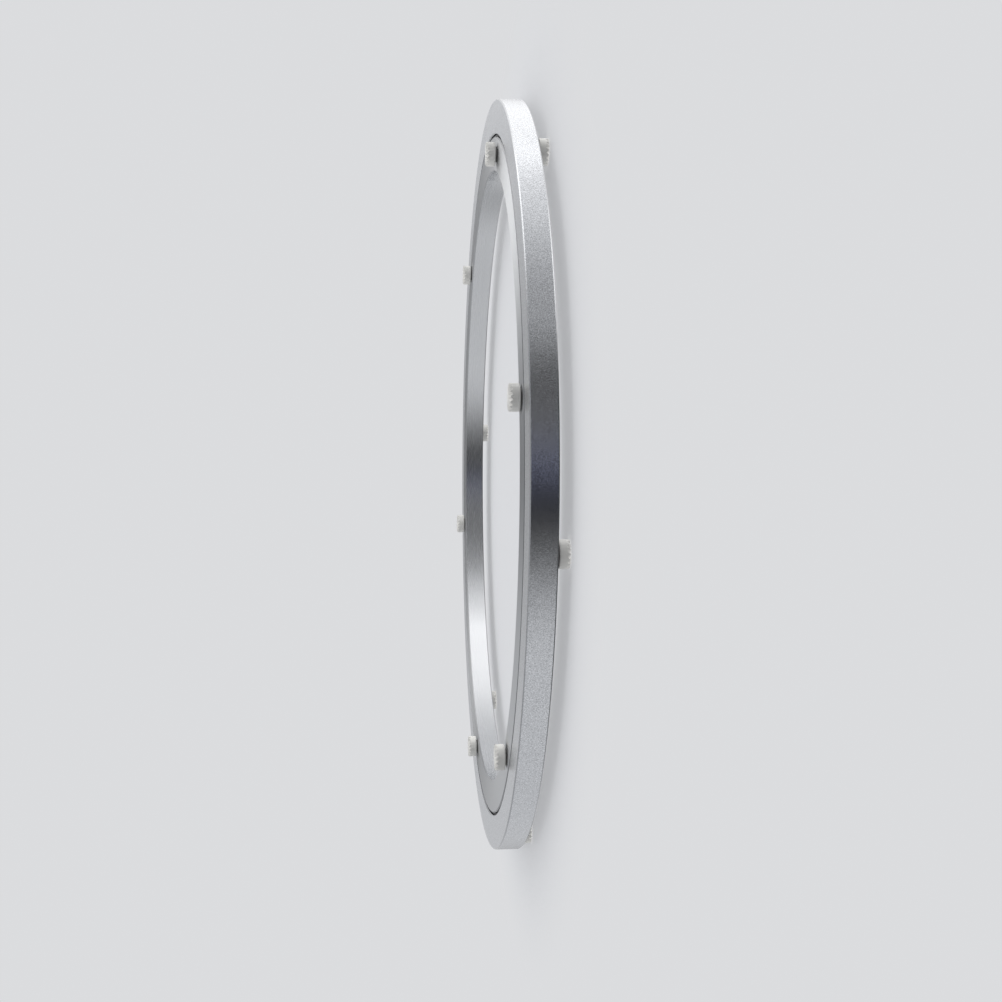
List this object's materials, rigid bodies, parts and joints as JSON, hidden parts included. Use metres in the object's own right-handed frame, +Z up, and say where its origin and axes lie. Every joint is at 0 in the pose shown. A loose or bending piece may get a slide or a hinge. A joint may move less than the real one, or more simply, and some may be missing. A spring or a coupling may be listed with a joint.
{
  "type": "lazy susan bearing",
  "caption": "Flat lazy susan turntable bearing: two concentric satin aluminium rings running on a caged ball race, with notched white rubber pads on opposite faces.",
  "frame": {"origin": "on the bearing's axis, in the plane of the ends of the outer ring's pads, on which it lies", "axes": "+Z up along the bearing's axis, towards the inner ring's pads; -Y towards the picture's viewer and +X towards the picture's top edge"},
  "size_m": [0.3, 0.3, 0.0174],
  "materials": {
    "outer_ring_metal": "satin blasted",
    "inner_ring_metal": "fine turned",
    "plug_metal": "satin",
    "ball_steel": "polished steel",
    "retainer_nylon": "matte",
    "pad_rubber": "matte"
  },
  "bodies": {
    "base_ring": {"outer_ring": "outer_ring_metal", "base_pad_1": "pad_rubber", "base_pad_2": "pad_rubber", "base_pad_3": "pad_rubber", "base_pad_4": "pad_rubber", "base_pad_5": "pad_rubber", "base_pad_6": "pad_rubber"},
    "turntable_ring": {"inner_ring": "inner_ring_metal", "fill_plug": "plug_metal", "top_pad_1": "pad_rubber", "top_pad_2": "pad_rubber", "top_pad_3": "pad_rubber", "top_pad_4": "pad_rubber", "top_pad_5": "pad_rubber", "top_pad_6": "pad_rubber"},
    "ball_train": {"ball_retainer": "retainer_nylon", "bearing_balls": "ball_steel"}
  },
  "joints": [
    {"name": "turntable_spin", "type": "hinge", "parent": "base_ring", "child": "turntable_ring", "pos_m": [0, 0, 0.0087], "axis": [0, 0, 1], "continuous": true},
    {"name": "ball_train_spin", "type": "hinge", "parent": "base_ring", "child": "ball_train", "pos_m": [0, 0, 0.0087], "axis": [0, 0, 1], "continuous": true}
  ],
  "couplings": [
    {"joint": "ball_train_spin", "follows": "turntable_spin", "ratio": 0.4913}
  ]
}
